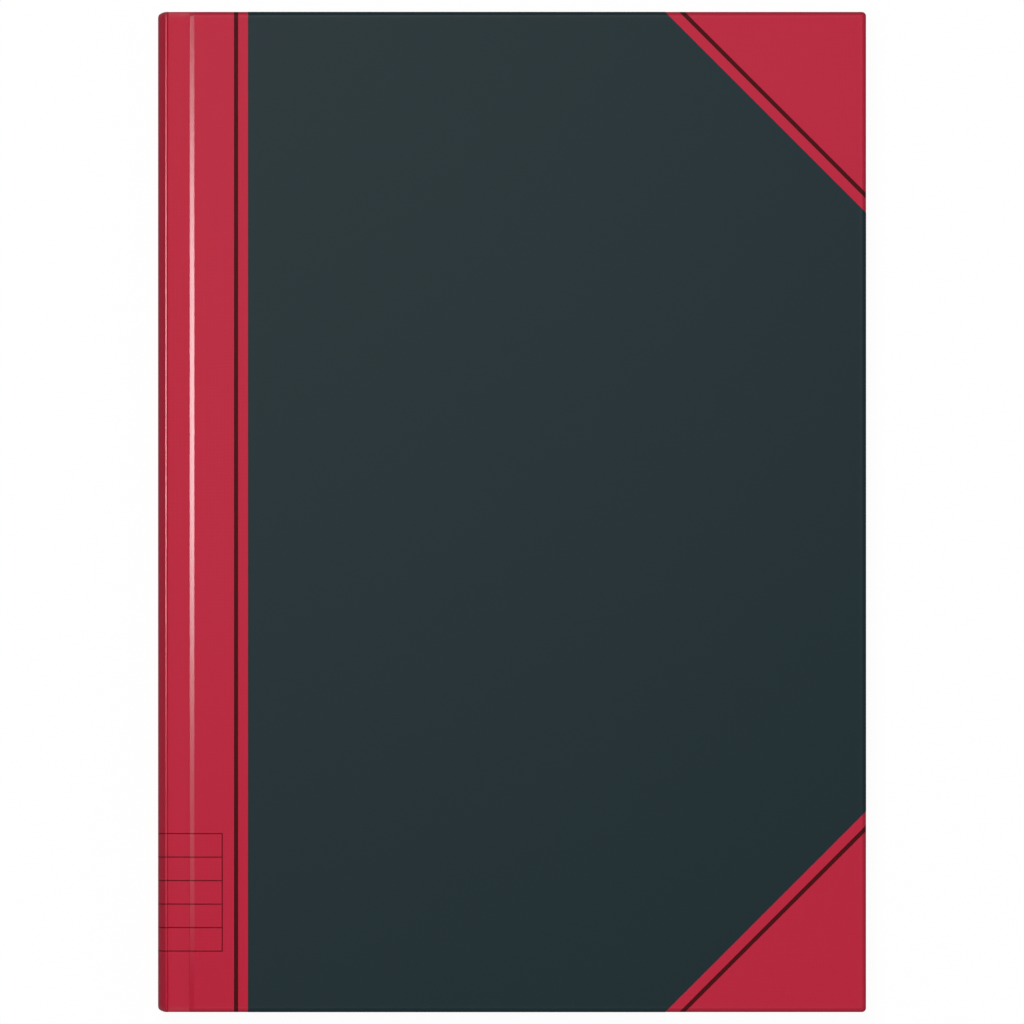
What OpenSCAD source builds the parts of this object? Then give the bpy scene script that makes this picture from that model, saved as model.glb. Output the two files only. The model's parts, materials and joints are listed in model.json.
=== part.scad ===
// Half-bound, thread-sewn A4 notebook: a book block of folded sections in a hollow-backed case.
// It lies on its back cover. +X runs to the fore-edge, +Y to the head and +Z to the front cover.
// The origin is on the back cover's outer face, below the middle of the closed book.

/* [Paper block] */
// Height of a page, from tail to head
page_h = 297; // [180:1:360]
// Width of a page, from its fold to the fore-edge
page_w = 208; // [130:1:260]
// Number of sewn sections
section_count = 12; // [4:2:14]
// Folded sheets in one section
sheets_per_section = 4; // [2:1:6]
// Thickness of a sheet of writing paper
paper_t = 0.075; // [0.06:0.005:0.12]
// Air between two leaves of a section
sheet_gap = 0.02; // [0.012:0.002:0.04]
// Air between two sheets where they nest in the fold
fold_gap = 0.005; // [0.003:0.001:0.01]
// Length of the fold where the sheets lie tight
fold_len = 1; // [0.5:0.1:3]
// Length over which the leaves spread to their own places
fold_spread = 1.5; // [0.5:0.1:4]
// Air between two bodies that turn against each other
turning_gap = 0.03; // [0.02:0.01:0.1]

/* [Sewing] */
// Diameter of the sewing thread, pressed into the fold
thread_d = 0.11; // [0.05:0.01:0.12]
// Stitches along one fold
stitch_count = 6; // [3:1:9]
// Length of one stitch
stitch_len = 34; // [8:1:36]
// Distance from one stitch to the next
stitch_pitch = 46; // [37:1:50]

/* [Endpapers and back lining] */
// Thickness of the endpapers
endpaper_t = 0.15; // [0.1:0.01:0.25]
// Distance from the spine folds to the line where a flyleaf is tipped on
flyleaf_tip = 0.8; // [0.6:0.1:3]
// Distance from the spine folds to the edge of a pastedown
pastedown_tip = 1.2; // [0.8:0.1:3]
// Thickness of the mull, the gauze glued over the folds
mull_t = 0.15; // [0.1:0.01:0.2]
// Width of the mull that is glued to each board
mull_flange = 26; // [15:1:40]
// Length of the mull that is left off at the head and at the tail
mull_short = 18; // [16:1:40]
// Thickness of the paper liner on the mull
liner_t = 0.2; // [0.1:0.05:0.4]

/* [Case] */
// Thickness of the boards
board_t = 2; // [1.5:0.1:3]
// Thickness of the covering
cloth_t = 0.25; // [0.2:0.05:0.4]
// Overhang of the boards beyond the pages
square = 3; // [1.5:0.5:6]
// Width of the covering turned in over a board's inner face
turn_in = 15; // [8:1:16]
// Radius of a board's corners in plan
board_corner_r = 0.8; // [0.3:0.1:3]
// Distance from the spine's outermost line to the covered board edge
board_setback = 9.35; // [8:0.05:14]

/* [Spine] */
// Rise of the rounded spine beyond its two ridges
spine_bulge = 2.4; // [1.8:0.1:2.8]
// Thickness of the card strip inside the spine
strip_t = 0.8; // [0.5:0.1:1]
// Distance from the spine's outermost line to the strip's edge
strip_reach = 2.9; // [2.9:0.1:3]
// How far the two spine ridges lie below the covers' faces
ridge_drop = 0.2; // [0:0.05:0.5]
// Least room between the spine's inside and the back lining
hollow_gap = 0.75; // [0.6:0.05:2]
// Distance from a cover's inner face to the line on which the cover turns
hinge_inset = 0.2; // [0:0.05:0.3]

/* [Half binding] */
// Distance from the spine's outermost line to the edge of the spine cloth
spine_cloth_reach = 27.3; // [18:0.1:60]
// Leg of a corner piece along the board's edges
corner_leg = 60.9; // [25:0.1:80]

/* [Hidden] */
$fn = 64;
FOLD_SIDES = 4;
THREAD_SIDES = 8;
// Reach of the shapes that cut one piece out of a larger one
CUT = 400;

RED = [0.72, 0.20, 0.27];
SLATE = [0.17, 0.21, 0.23];
PAPER = [0.95, 0.94, 0.90];
CARD = [0.62, 0.58, 0.52];
GAUZE = [0.90, 0.88, 0.82];
KRAFT = [0.70, 0.56, 0.40];
THREAD = [0.97, 0.97, 0.95];

// Heights, from the back cover's outer face
board_z0 = cloth_t;
board_z1 = board_z0 + board_t;
turn_z1 = board_z1 + cloth_t;
cover_t = turn_z1 + endpaper_t;
flyleaf_z0 = cover_t + turning_gap;
block_z0 = flyleaf_z0 + endpaper_t + turning_gap;
leaf_pitch = paper_t + sheet_gap;
section_t = 2 * sheets_per_section * leaf_pitch;
section_pitch = section_t + turning_gap;
block_t = section_count * section_pitch - turning_gap;
book_t = 2 * block_z0 + block_t;
groove_z = board_z1 - cloth_t;
strip_z0 = ridge_drop + cloth_t;
hinge_z = cover_t + hinge_inset;

// The spine is an arc: its radius follows from its rise and its height
strip_half = book_t / 2 - strip_z0;
spine_r = (strip_half ^ 2 + spine_bulge ^ 2) / (2 * spine_bulge);
strip_r1 = spine_r - cloth_t;
strip_r0 = strip_r1 - strip_t;
hollow_r = strip_r0 - cloth_t;

// Distances along X, from the spine's outermost line
liner_x = spine_r - sqrt(hollow_r ^ 2 - (block_t / 2) ^ 2) + hollow_gap;
mull_x = liner_x + liner_t;
block_x = mull_x + mull_t;
hinge_x = block_x;
block_x1 = block_x + page_w;
cover_w = block_x1 + square;
cover_h = page_h + 2 * square;
board_x = board_setback + cloth_t;
board_x1 = cover_w - cloth_t;
board_h = cover_h - 2 * cloth_t;
window_x1 = cover_w - turn_in;
window_h = cover_h - 2 * turn_in;
mull_h = page_h - 2 * mull_short;
mull_x1 = board_x + mull_flange;
nose_x = block_x + section_t / 2;

function two_digits(i) = str(i < 10 ? "0" : "", i);
function section_name(i) = str("section_", two_digits(i));
function thread_name(i) = str(section_name(i), "_thread");
// Sections are counted from the front, so the last one lies on the back cover
function section_mid_z(i) = block_z0 + (section_count - i) * section_pitch + section_t / 2;

echo(hinge_lines_x=hinge_x - cover_w / 2, back_z=hinge_z, front_z=book_t - hinge_z);
echo(fold_line_x=block_x - cover_w / 2, first_boundary_z=block_z0 - turning_gap / 2, pitch=section_pitch);
echo(flyleaf_x=block_x + flyleaf_tip - cover_w / 2, flyleaf_z0=flyleaf_z0, book=[cover_w, cover_h, book_t]);

// Moves the spine's outermost line to its place left of the origin
module placed() {
    translate([-cover_w / 2, 0, 0]) children();
}

// The front half of the case is the back half turned over
module front_half() {
    placed() translate([0, 0, book_t]) mirror([0, 0, 1]) children();
}

// Draws an XZ outline along Y, centred on the middle of the book
module along_y(length) {
    translate([0, length / 2, 0]) rotate([90, 0, 0]) linear_extrude(length) children();
}

// The same at the head and at the tail, with its outer end at a given distance
module at_both_ends(length, end_y) {
    for (side = [-1, 1])
        translate([0, side * (end_y - length / 2), 0]) along_y(length) children();
}

// A box from x0 to x1 and z0 to z1, centred along Y
module bar(x0, x1, z0, z1, length) {
    translate([x0, -length / 2, z0]) cube([x1 - x0, length, z1 - z0]);
}

// A plate with rounded corners in plan
module plate(x0, x1, z0, z1, length, r) {
    translate([0, 0, z0]) linear_extrude(z1 - z0) {
        translate([x0 + r, -length / 2]) square([x1 - x0 - 2 * r, length]);
        translate([x0, -length / 2 + r]) square([x1 - x0, length - 2 * r]);
        for (x = [x0 + r, x1 - r])
            for (y = [-1, 1])
                translate([x, y * (length / 2 - r)]) circle(r);
    }
}

module board_plate() {
    plate(board_x, board_x1, board_z0, board_z1, board_h, board_corner_r);
}

// The covering of one board: its outer face, its edges and the parts turned in
module covering() {
    difference() {
        plate(board_setback, cover_w, 0, turn_z1, cover_h, board_corner_r + cloth_t);
        board_plate();
        bar(board_setback - CUT, window_x1, board_z1, board_z1 + CUT, window_h);
    }
}

// Plan outline of the two corner pieces: side 1 is the head, -1 the tail
module corner_plan(side) {
    tip = [cover_w, side * cover_h / 2];
    polygon([
        tip + [-corner_leg - CUT, side * CUT],
        tip + [CUT, side * (-corner_leg - CUT)],
        tip + [CUT, side * CUT]
    ]);
}

module spine_side_plan() {
    translate([spine_cloth_reach - CUT, -CUT]) square([CUT, 2 * CUT]);
}

module in_plan() {
    translate([0, 0, -CUT]) linear_extrude(2 * CUT) children();
}

module siding() {
    color(SLATE) difference() {
        covering();
        in_plan() {
            spine_side_plan();
            corner_plan(1);
            corner_plan(-1);
        }
    }
}

module corner(side) {
    color(RED) intersection() {
        covering();
        in_plan() corner_plan(side);
    }
}

module board_cloth() {
    color(RED) intersection() {
        covering();
        in_plan() spine_side_plan();
    }
}

module board() {
    color(CARD) board_plate();
}

// The cloth between a board and the spine: over the ridge, down its side and along the groove
module joint_cloth() {
    leg_x = strip_reach + cloth_t;
    color(RED) {
        along_y(cover_h) polygon([
            [spine_bulge, ridge_drop],
            [leg_x, ridge_drop],
            [leg_x, groove_z],
            [board_setback, groove_z],
            [board_setback, board_z1],
            [strip_reach, board_z1],
            [strip_reach, strip_z0],
            [spine_bulge, strip_z0]
        ]);
        at_both_ends(turn_in, cover_h / 2)
            translate([leg_x, board_z1]) square([board_setback - leg_x, cloth_t]);
    }
}

// The pastedown lies flat on the turned-in covering, and fills the space between its strips
module pastedown() {
    x0 = block_x + pastedown_tip;
    color(PAPER) {
        bar(x0, block_x1, turn_z1, cover_t, page_h);
        bar(x0, window_x1, board_z1 + mull_t, turn_z1, window_h);
        bar(mull_x1, window_x1, board_z1, board_z1 + mull_t, window_h);
    }
}

module flyleaf() {
    color(PAPER) bar(block_x + flyleaf_tip, block_x1, flyleaf_z0, flyleaf_z0 + endpaper_t, page_h);
}

// Part of the spine's arc, between two radii
module spine_arc(r0, r1) {
    intersection() {
        translate([spine_r, book_t / 2]) difference() {
            circle(r1, $fn = 128);
            circle(r0, $fn = 128);
        }
        translate([0, strip_z0]) square([strip_reach, 2 * strip_half]);
    }
}

module spine_strip() {
    color(CARD) placed() along_y(board_h) spine_arc(strip_r0, strip_r1);
}

// The cloth covers the strip and is turned in over it at the head and the tail
module spine_cloth() {
    color(RED) placed() {
        along_y(cover_h) spine_arc(strip_r1, spine_r);
        at_both_ends(cloth_t, cover_h / 2) spine_arc(hollow_r, spine_r);
        at_both_ends(turn_in, cover_h / 2) spine_arc(hollow_r, strip_r0);
    }
}

// The gauze lies on the folds, and its flanges are glued to the boards' inner faces
module mull() {
    color(GAUZE) placed() along_y(mull_h) difference() {
        translate([mull_x, board_z1]) square([mull_x1 - mull_x, book_t - 2 * board_z1]);
        translate([block_x, board_z1 + mull_t]) square([CUT, book_t - 2 * (board_z1 + mull_t)]);
    }
}

module spine_liner() {
    color(KRAFT) placed() bar(liner_x, mull_x, block_z0, book_t - block_z0, page_h);
}

// Outline of one side of a folded sheet: tight in the fold, then spread to its own place
function sheet_side(tight, loose) = concat(
    [for (s = [0:FOLD_SIDES])
        let (a = 180 - 90 + 180 * s / FOLD_SIDES)
        [nose_x + tight * cos(a), tight * sin(a)]],
    [[nose_x + fold_len, -tight],
     [nose_x + fold_len + fold_spread, -loose],
     [block_x1, -loose],
     [block_x1, loose],
     [nose_x + fold_len + fold_spread, loose],
     [nose_x + fold_len, tight]]
);

// Sheet 0 is the outermost one
module folded_sheet(k) {
    tight = section_t / 2 - k * (paper_t + fold_gap);
    loose = section_t / 2 - sheet_gap / 2 - k * leaf_pitch;
    along_y(page_h) difference() {
        polygon(sheet_side(tight, loose));
        polygon(sheet_side(tight - paper_t, loose - paper_t));
    }
}

module section(i) {
    color(PAPER) placed() translate([0, 0, section_mid_z(i)])
        for (k = [0:sheets_per_section - 1])
            folded_sheet(k);
}

// The stitches lie in the fold of the innermost sheet
module stitches(i) {
    first_y = -stitch_pitch * (stitch_count - 1) / 2;
    color(THREAD) placed() translate([nose_x, 0, section_mid_z(i)])
        for (n = [0:stitch_count - 1])
            translate([0, first_y + n * stitch_pitch, 0]) rotate([90, 0, 0])
                cylinder(d = thread_d, h = stitch_len, center = true, $fn = THREAD_SIDES);
}

placed() board();  // back_board
placed() siding();  // back_siding
placed() corner(1);  // back_corner_head
placed() corner(-1);  // back_corner_tail
placed() board_cloth();  // back_spine_cloth
placed() joint_cloth();  // back_joint_cloth
placed() pastedown();  // back_pastedown
placed() flyleaf();  // back_flyleaf
front_half() board();  // front_board
front_half() siding();  // front_siding
front_half() corner(1);  // front_corner_head
front_half() corner(-1);  // front_corner_tail
front_half() board_cloth();  // front_spine_cloth
front_half() joint_cloth();  // front_joint_cloth
front_half() pastedown();  // front_pastedown
front_half() flyleaf();  // front_flyleaf
spine_strip();
spine_cloth();
mull();
spine_liner();
for (i = [1:section_count]) {
    section(i);
    stitches(i);
}
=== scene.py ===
"""The looks of a half-bound, thread-sewn notebook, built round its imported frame.

Shapes are worked out in millimetres. A cover is drawn in its own coordinates: u runs from the
spine's outermost line to the fore-edge, y from tail to head, and w from the cover's outer face inwards.
"""

import json
import math
import random

import bmesh
import bpy
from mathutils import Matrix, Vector

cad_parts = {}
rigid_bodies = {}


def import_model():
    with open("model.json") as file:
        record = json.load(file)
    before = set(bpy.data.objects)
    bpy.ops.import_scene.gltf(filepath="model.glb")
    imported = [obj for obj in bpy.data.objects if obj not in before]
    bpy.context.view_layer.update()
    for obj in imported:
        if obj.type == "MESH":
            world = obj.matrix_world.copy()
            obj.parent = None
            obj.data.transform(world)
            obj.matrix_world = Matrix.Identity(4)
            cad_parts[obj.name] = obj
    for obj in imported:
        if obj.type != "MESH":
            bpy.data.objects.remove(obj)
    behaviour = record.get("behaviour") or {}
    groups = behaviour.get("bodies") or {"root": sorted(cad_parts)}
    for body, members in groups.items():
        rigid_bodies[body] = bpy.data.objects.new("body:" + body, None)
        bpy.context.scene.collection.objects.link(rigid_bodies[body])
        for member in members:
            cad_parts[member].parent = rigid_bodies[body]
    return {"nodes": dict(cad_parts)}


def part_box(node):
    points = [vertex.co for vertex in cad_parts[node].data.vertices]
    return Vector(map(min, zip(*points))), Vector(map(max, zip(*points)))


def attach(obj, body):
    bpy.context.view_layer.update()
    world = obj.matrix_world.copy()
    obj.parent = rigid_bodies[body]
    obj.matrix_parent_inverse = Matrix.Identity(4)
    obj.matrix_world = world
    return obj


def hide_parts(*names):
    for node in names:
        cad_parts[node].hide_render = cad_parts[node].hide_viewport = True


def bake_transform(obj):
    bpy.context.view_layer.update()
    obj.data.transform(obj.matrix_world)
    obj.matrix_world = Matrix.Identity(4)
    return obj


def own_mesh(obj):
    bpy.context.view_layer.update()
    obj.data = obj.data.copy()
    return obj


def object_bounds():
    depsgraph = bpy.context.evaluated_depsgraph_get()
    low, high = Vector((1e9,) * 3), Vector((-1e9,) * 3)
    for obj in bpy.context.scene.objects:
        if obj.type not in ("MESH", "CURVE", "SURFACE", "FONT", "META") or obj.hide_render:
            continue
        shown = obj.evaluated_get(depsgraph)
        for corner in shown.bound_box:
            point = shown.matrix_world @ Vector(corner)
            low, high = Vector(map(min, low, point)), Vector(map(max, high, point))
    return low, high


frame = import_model()
cad_low, cad_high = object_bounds()
nodes = frame["nodes"]

# Sizes taken from the frame, in millimetres
MM = 0.001
SPINE_X = cad_low.x / MM
BOOK_W = (cad_high.x - cad_low.x) / MM
BOOK_T = cad_high.z / MM
HALF_H = cad_high.y / MM


def node_box(name):
    """The lowest and the highest corner of a node."""
    low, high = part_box(name)
    return low / MM, high / MM


def along_u(x):
    """The frame's x as a distance from the spine's outermost line."""
    return x - SPINE_X


board_low, board_high = node_box("back_board")
corner_low, corner_high = node_box("back_corner_head")
liner_low, liner_high = node_box("spine_liner")
mull_low, mull_high = node_box("mull")
section_low, section_high = node_box("section_01")
cloth_high = node_box("back_spine_cloth")[1]
joint_low = node_box("back_joint_cloth")[0]
strip_low = node_box("spine_strip")[0]
CLOTH_T = board_low.z
TURN_W = cloth_high.z
GROOVE_W = board_high.z - CLOTH_T
CLOTH_REACH = along_u(cloth_high.x)
CORNER_LEG = corner_high.x - corner_low.x
RIDGE_U = along_u(joint_low.x)
HALF_PAGE = section_high.y
FOLD_U = along_u(section_low.x)
FORE_U = along_u(section_high.x)

# The spine's arc, from its rise and its height
strip_half = BOOK_T / 2 - strip_low.z
SPINE_R = (strip_half**2 + RIDGE_U**2) / (2 * RIDGE_U)
ARC_MID_W = BOOK_T / 2
# Where the arc goes over into its ridge, where the cloth pieces meet and where the hollow ends, in degrees
RIDGE_ANGLE = 30.0
SEAM_ANGLE = 28.0
HOLLOW_ANGLE = 32.0
# Steps along the arc: from a ridge to its seam, and from seam to seam
SEAM_STEPS = 6
ARC_STEPS = 48

# Thickness of the card strip and of a covering, and how far a covering is turned in
STRIP_T = 0.8
SHEET_T = 0.16
TURN_IN = 15.0
HOLLOW_R = SPINE_R - STRIP_T - 2 * CLOTH_T
# The cloth lies this far below the siding paper that overlaps its edge
CLOTH_SINK = 0.03
# Points closer than this are one
SAME_POINT = 1e-4

# Rounding of the case, as the photo's dark edges show it
EDGE_REACH = 1.25
EDGE_R = 1.4
INNER_EDGE_R = 0.5
PLAN_R = 1.3
# The share of a cover's depth that the outer rounding may take, and that both roundings may take
EDGE_SHARE = 0.5
SPINE_EDGE_SHARE = 0.8
BOTH_EDGES_SHARE = 0.9
# How far each rounding may reach from the edge, as a share of the depth
OUTER_REACH_SHARE = 1.6
INNER_REACH_SHARE = 0.8
# How far the outermost line of the spine stops short of its ends
SPINE_END_DROP = 0.45

# The pressed board edge beside the groove: a narrow slope with a soft top
SLOPE_TOP_U = 11.08
SLOPE_TOP_R = 0.35
SLOPE_FOOT_U = 9.63
SLOPE_FOOT_R = 0.08
SLOPE_DROP = 0.73
# The groove's corners at the board and at the ridge
GROOVE_BOARD_R = 0.15
GROOVE_RIDGE_R = 0.12
# The ridge between the groove and the spine, with a bevel as steep as that slope
RIDGE_SIDE_U = 2.8
RIDGE_W = 0.25
RIDGE_R = 0.05
BEVEL_U = 0.24
BEVEL_R = 0.06
BEVEL_DROP = BEVEL_U * (SLOPE_DROP - CLOTH_SINK) / (SLOPE_TOP_U - SLOPE_FOOT_U)
# Behind the ridge the turned-in cloth follows the wall, then draws back under the strip's edge
WALL_FOOT_U = RIDGE_SIDE_U + 0.3
WALL_NEAR = 0.02
WALL_STEP = 0.06
DRAW_BACK = 1.2
# How far the burnish goes past the slope's top, and past its other ends
BURNISH_OVER_TOP = 0.05
BURNISH_OVER = 0.02

# Printed lines on the cloth
RULE_U0 = 23.07
RULE_U1 = 24.33
CORNER_RULE_LEGS = (54.9, 56.7)
LABEL_TOP_Y = -97.4
LABEL_PITCH = 7.12
LABEL_LINES = 6
LABEL_FOOT_Y = LABEL_TOP_Y - LABEL_PITCH * (LABEL_LINES - 1)
LABEL_END_U = 19.5
LABEL_LINE = 0.36


# Turning numbers into meshes
def front(u, y, w):
    """A point of the front cover in the frame."""
    return (SPINE_X + u, y, BOOK_T - w)


def back(u, y, w):
    """A point of the back cover, or of the book block with its height, in the frame."""
    return (SPINE_X + u, y, w)


def metres(sizes):
    return tuple(size * MM for size in sizes)


def to_object(name, bm, place, materials):
    """A piece from a mesh drawn in a cover's coordinates."""
    for v in bm.verts:
        v.co = Vector(place(*v.co)) * MM
    if place is front:
        bmesh.ops.reverse_faces(bm, faces=bm.faces[:])
    mesh = bpy.data.meshes.new(name)
    bm.to_mesh(mesh)
    bm.free()
    for m in materials:
        mesh.materials.append(m)
    obj = bpy.data.objects.new(name, mesh)
    bpy.context.scene.collection.objects.link(obj)
    return obj


def baked_down(obj, sharp_deg=38):
    """Applies the modifiers, then shades the piece smooth up to its sharp edges."""
    graph = bpy.context.evaluated_depsgraph_get()
    mesh = bpy.data.meshes.new_from_object(obj.evaluated_get(graph))
    obj.modifiers.clear()
    obj.data = mesh
    mesh.name = obj.name
    mesh.shade_smooth()
    mesh.set_sharp_from_angle(angle=math.radians(sharp_deg))
    return obj


def thicken(obj, thickness=SHEET_T):
    """Gives a sheet its thickness on the inner side, which stays within the sheet's own ends."""
    outer_count = len(obj.data.vertices)
    reach = max(abs(v.co.y) for v in obj.data.vertices) - thickness * MM
    solid = obj.modifiers.new("thickness", "SOLIDIFY")
    solid.thickness = thickness * MM
    solid.offset = -1
    solid.use_even_offset = False
    baked_down(obj)
    for v in obj.data.vertices[outer_count:]:
        v.co.y = max(-reach, min(reach, v.co.y))
    return obj


def rounded_line(corners, step_deg=9):
    """Points along a line of (u, w, radius) corners, each rounded by its radius."""
    points = [Vector(corners[0][:2])]
    for before, here, after in zip(corners, corners[1:], corners[2:]):
        p = Vector(here[:2])
        a = (Vector(before[:2]) - p).normalized()
        b = (Vector(after[:2]) - p).normalized()
        turn = math.pi - a.angle(b)
        radius = here[2]
        reach = radius * math.tan(turn / 2)
        centre = p + (a + b).normalized() * (radius / math.cos(turn / 2))
        first = p + a * reach - centre
        steps = max(2, math.ceil(math.degrees(turn) / step_deg))
        side = 1 if a.x * b.y - a.y * b.x < 0 else -1
        for i in range(steps + 1):
            angle = side * turn * i / steps
            c, s = math.cos(angle), math.sin(angle)
            points.append(centre + Vector((first.x * c - first.y * s, first.x * s + first.y * c)))
    points.append(Vector(corners[-1][:2]))
    return points


def subdivided(points, longest=0.6):
    """The same line with no stretch longer than a given length."""
    out = [points[0]]
    for a, b in zip(points, points[1:]):
        count = max(1, math.ceil((b - a).length / longest))
        out += [a.lerp(b, i / count) for i in range(1, count + 1)]
    return out


def lengths_along(points, start):
    """Distance along a line, counted down from a start value."""
    values = [start]
    for a, b in zip(points, points[1:]):
        values.append(values[-1] - (b - a).length)
    return values


def edge_profile(depth, outer, inner, steps=8):
    """(inset, depth) of a rounded cover edge, from the outer face to the inner one."""
    angles = [math.pi / 2 * i / steps for i in range(steps + 1)]
    outside = [(outer[0] * (1 - math.sin(a)), outer[1] * (1 - math.cos(a))) for a in angles]
    inside = [(inner[0] * (1 - math.cos(a)), depth - inner[1] * (1 - math.sin(a))) for a in angles]
    return outside + inside


def grid_mesh(rows, uvs, materials_of_row):
    """A sheet from rows of points, with its map in millimetres."""
    bm = bmesh.new()
    layer = bm.loops.layers.uv.new("mm")
    verts = [[bm.verts.new(p) for p in row] for row in rows]
    for i in range(len(rows) - 1):
        for j in range(len(rows[i]) - 1):
            quad = [(i, j), (i, j + 1), (i + 1, j + 1), (i + 1, j)]
            face = bm.faces.new([verts[a][b] for a, b in quad])
            face.material_index = materials_of_row[i]
            for loop, (a, b) in zip(face.loops, quad):
                loop[layer].uv = uvs[a][b]
    return bm


def drawn_out(line, half):
    """A closed line drawn out from tail to head, still open there: (mesh, tail ring, head ring)."""
    bm = bmesh.new()
    tail, head = [[bm.verts.new((p.x, y, p.y)) for p in line] for y in (-half, half)]
    for i in range(len(line)):
        j = (i + 1) % len(line)
        bm.faces.new([tail[i], tail[j], head[j], head[i]])
    return bm, tail, head


# The red cloth round the spine, as one cross-section
def spine_point(angle_deg, radius):
    """A point on an arc of the spine, by its angle from the spine's outermost line."""
    a = math.radians(angle_deg)
    return Vector((SPINE_R - radius * math.cos(a), ARC_MID_W - radius * math.sin(a)))


def arc_line(first, last, radius, steps):
    """Points on an arc of the spine, from one angle to another."""
    return [spine_point(first + (last - first) * i / steps, radius) for i in range(steps + 1)]


arc_end = spine_point(RIDGE_ANGLE, SPINE_R)
BEVEL_FOOT_W = RIDGE_W + BEVEL_DROP
BEVEL_FOOT_U = arc_end.x + (arc_end.y - BEVEL_FOOT_W) * math.tan(math.radians(RIDGE_ANGLE))
# The ridge's inner corner as seen from the arc's middle
RIDGE_TOP_ANGLE = math.degrees(math.atan2(ARC_MID_W - RIDGE_W, SPINE_R - RIDGE_SIDE_U))


def cloth_section():
    """Outer line of the cloth from its edge on the cover to the seam on the spine's arc."""
    corners = [
        (CLOTH_REACH, CLOTH_SINK, 0),
        (SLOPE_TOP_U, CLOTH_SINK, SLOPE_TOP_R),
        (SLOPE_FOOT_U, SLOPE_DROP, SLOPE_FOOT_R),
        (SLOPE_FOOT_U, GROOVE_W, GROOVE_BOARD_R),
        (RIDGE_SIDE_U, GROOVE_W, GROOVE_RIDGE_R),
        (RIDGE_SIDE_U, RIDGE_W, RIDGE_R),
        (BEVEL_FOOT_U + BEVEL_U, RIDGE_W, BEVEL_R),
        (BEVEL_FOOT_U, BEVEL_FOOT_W, BEVEL_R),
        (arc_end.x, arc_end.y, 0),
    ]
    return subdivided(rounded_line(corners)) + arc_line(RIDGE_ANGLE, SEAM_ANGLE, SPINE_R, SEAM_STEPS)[1:]


def inner_point(p):
    """Where the turned-in cloth lies behind a point of the outer line."""
    strip_edge = spine_point(HOLLOW_ANGLE, HOLLOW_R)
    wall_foot = strip_edge + Vector((WALL_STEP, WALL_STEP))
    drawn_back = Vector((WALL_FOOT_U + DRAW_BACK, TURN_W))
    if p.x > drawn_back.x:
        return Vector((p.x, TURN_W))
    if p.x > WALL_FOOT_U:
        return wall_foot.lerp(drawn_back, (p.x - WALL_FOOT_U) / DRAW_BACK)
    if p.x > RIDGE_SIDE_U - WALL_NEAR:
        return strip_edge.lerp(wall_foot, (p.y - RIDGE_W) / (GROOVE_W - RIDGE_W))
    offset = p - Vector((SPINE_R, ARC_MID_W))
    angle = math.degrees(math.atan2(-offset.y, -offset.x))
    return spine_point(angle * HOLLOW_ANGLE / RIDGE_TOP_ANGLE, HOLLOW_R)


def rolled_path(p, q):
    """(y, point) over the head: from the outer line's point p to q, where the cloth is turned in."""
    depth = (q - p).length
    spine_share = max(0.0, 1 - p.x / RIDGE_U)
    end = HALF_H - CLOTH_SINK - SPINE_END_DROP * spine_share**2
    outer_share = EDGE_SHARE + (SPINE_EDGE_SHARE - EDGE_SHARE) * spine_share
    inner_share = BOTH_EDGES_SHARE - outer_share
    outer = (min(EDGE_REACH, OUTER_REACH_SHARE * depth), min(EDGE_R, outer_share * depth))
    inner = (min(INNER_EDGE_R, INNER_REACH_SHARE * depth), min(INNER_EDGE_R, inner_share * depth))
    edge = edge_profile(depth, outer, inner)
    return [(end - d, p.lerp(q, w / depth)) for d, w in edge] + [(HALF_H - TURN_IN, q)]


def rolled(points, s_values, materials_of_row):
    """The cloth along a cross-section, rolled over at the tail and the head and turned in."""
    rows, uvs = [], []
    for p, s in zip(points, s_values):
        path = rolled_path(p, inner_point(p))
        lengths = [path[0][0]]
        for (y0, a), (y1, b) in zip(path, path[1:]):
            lengths.append(lengths[-1] + math.hypot(y1 - y0, (b - a).length))
        tail = [(at.x, -y, at.y) for y, at in path]
        head = [(at.x, y, at.y) for y, at in path]
        rows.append(tail[::-1] + head)
        uvs.append([(s, -v) for v in lengths[::-1]] + [(s, v) for v in lengths])
    bm = grid_mesh(rows, uvs, materials_of_row)
    bmesh.ops.remove_doubles(bm, verts=bm.verts[:], dist=SAME_POINT)
    bmesh.ops.reverse_faces(bm, faces=bm.faces[:])
    return bm


def is_pressed(p):
    """True on the slope beside the groove and on the ridge's bevel, where the cloth is burnished."""
    slope = SLOPE_FOOT_U - BURNISH_OVER < p.x < SLOPE_TOP_U + BURNISH_OVER_TOP
    along_bevel = BEVEL_FOOT_U - BURNISH_OVER < p.x < BEVEL_FOOT_U + BEVEL_U + BURNISH_OVER
    return slope or (along_bevel and p.y < BEVEL_FOOT_W + BURNISH_OVER)


# Board coverings: siding paper and cloth corners
FACE_MARGIN = 0.2


def outline(start_u, steps=8):
    """(edge point, outward normal) round the head, the fore-edge and the tail."""
    path = [((start_u, HALF_H), (0, 1))]
    for centre_y, first in ((HALF_H - PLAN_R, 90), (PLAN_R - HALF_H, 0)):
        for i in range(steps + 1):
            a = math.radians(first - 90 * i / steps)
            n = (math.cos(a), math.sin(a))
            path.append(((BOOK_W - PLAN_R + PLAN_R * n[0], centre_y + PLAN_R * n[1]), n))
    path.append(((start_u, -HALF_H), (0, -1)))
    return path


def inset(point, normal, d):
    """A point of the outline moved inwards, mitred at the corners."""
    x = point[0] - normal[0] * d
    y = point[1] - normal[1] * d
    if d > PLAN_R:
        x = min(x, BOOK_W - d) if normal[0] == 0 else BOOK_W - d
        limit = HALF_H - d
        y = max(-limit, min(limit, y)) if normal[1] == 0 else math.copysign(limit, point[1])
    return x, y


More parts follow.
